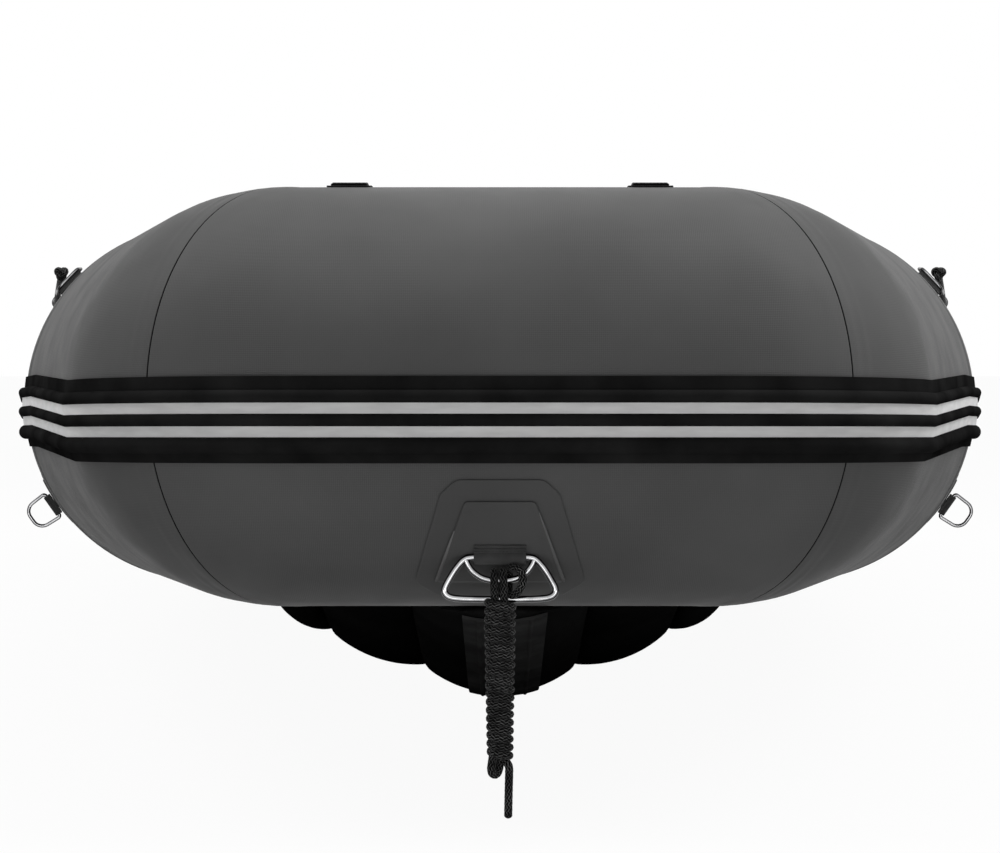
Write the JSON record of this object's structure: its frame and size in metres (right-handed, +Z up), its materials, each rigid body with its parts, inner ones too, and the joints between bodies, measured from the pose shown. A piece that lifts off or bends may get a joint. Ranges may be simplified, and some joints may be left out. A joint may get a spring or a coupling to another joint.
{
  "type": "inflatable boat",
  "caption": "Inflatable boat with round air tubes, blunt bow, lobed air floor, board transom, bench seat and swivelling rowlocks, with a tow ring and painter.",
  "frame": {"origin": "on the ground under the centre of the boat's own footprint, cords left out", "axes": "+Z up, -Y towards the bow, +X to starboard"},
  "size_m": [1.4786, 3.2934, 0.6723],
  "materials": {
    "black_plastic": "moulded, matte",
    "black_rope": "braided polyester",
    "black_rubber": "matte moulded rubber",
    "black_webbing": "woven tape",
    "floor_fabric": "coated cloth, satin",
    "grey_board": "painted marine plywood",
    "grey_stripe": "matte moulded rubber",
    "grey_webbing": "woven tape",
    "steel": "polished stainless",
    "tube_fabric": "coated cloth, satin"
  },
  "bodies": {
    "hull": {"bow_handle": "black_webbing", "drain": "black_plastic", "floor_centre": "floor_fabric", "floor_inner": "floor_fabric", "floor_outer": "floor_fabric", "floor_skirt": "floor_fabric", "keel_guard": "black_rubber", "lifeline": "black_rope", "lifeline_knot": "black_rope", "line_keeper": "grey_webbing", "line_patch": "tube_fabric", "line_ring": "steel", "motor_plate": "black_plastic", "quarter_keeper": "grey_webbing", "quarter_patch": "tube_fabric", "quarter_ring": "steel", "rope_fold": "black_rope", "rope_hank": "black_rope", "rope_loops": "black_rope", "rope_tail": "black_rope", "rowlock_base": "black_plastic", "seat_board": "grey_board", "seat_rail": "black_rubber", "shoulder_keeper": "grey_webbing", "shoulder_patch": "tube_fabric", "shoulder_ring": "steel", "stern_cap": "black_rubber", "stern_cone": "tube_fabric", "stern_handle": "black_rubber", "strake_bow": "black_rubber", "strake_side": "black_rubber", "stripe_bow": "grey_stripe", "stripe_side": "grey_stripe", "tow_keeper": "grey_webbing", "tow_pad": "tube_fabric", "tow_patch": "tube_fabric", "tow_ring": "steel", "transom": "grey_board", "transom_holder": "black_rubber", "tube_bow": "tube_fabric", "tube_shoulder": "tube_fabric", "tube_side_aft": "tube_fabric", "tube_side_fwd": "tube_fabric", "tube_side_mid": "tube_fabric", "valve": "black_plastic"},
    "rowlock_stbd": {"rowlock_stbd": "black_plastic"},
    "rowlock_port": {"rowlock_port": "black_plastic"}
  },
  "joints": [
    {"name": "rowlock_stbd_swivel", "type": "hinge", "parent": "hull", "child": "rowlock_stbd", "pos_m": [0.51501, 0.58673, 0.6], "axis": [0, 0, 1], "range_deg": [-90, 90]},
    {"name": "rowlock_port_swivel", "type": "hinge", "parent": "hull", "child": "rowlock_port", "pos_m": [-0.51501, 0.58673, 0.6], "axis": [0, 0, 1], "range_deg": [-90, 90]}
  ]
}
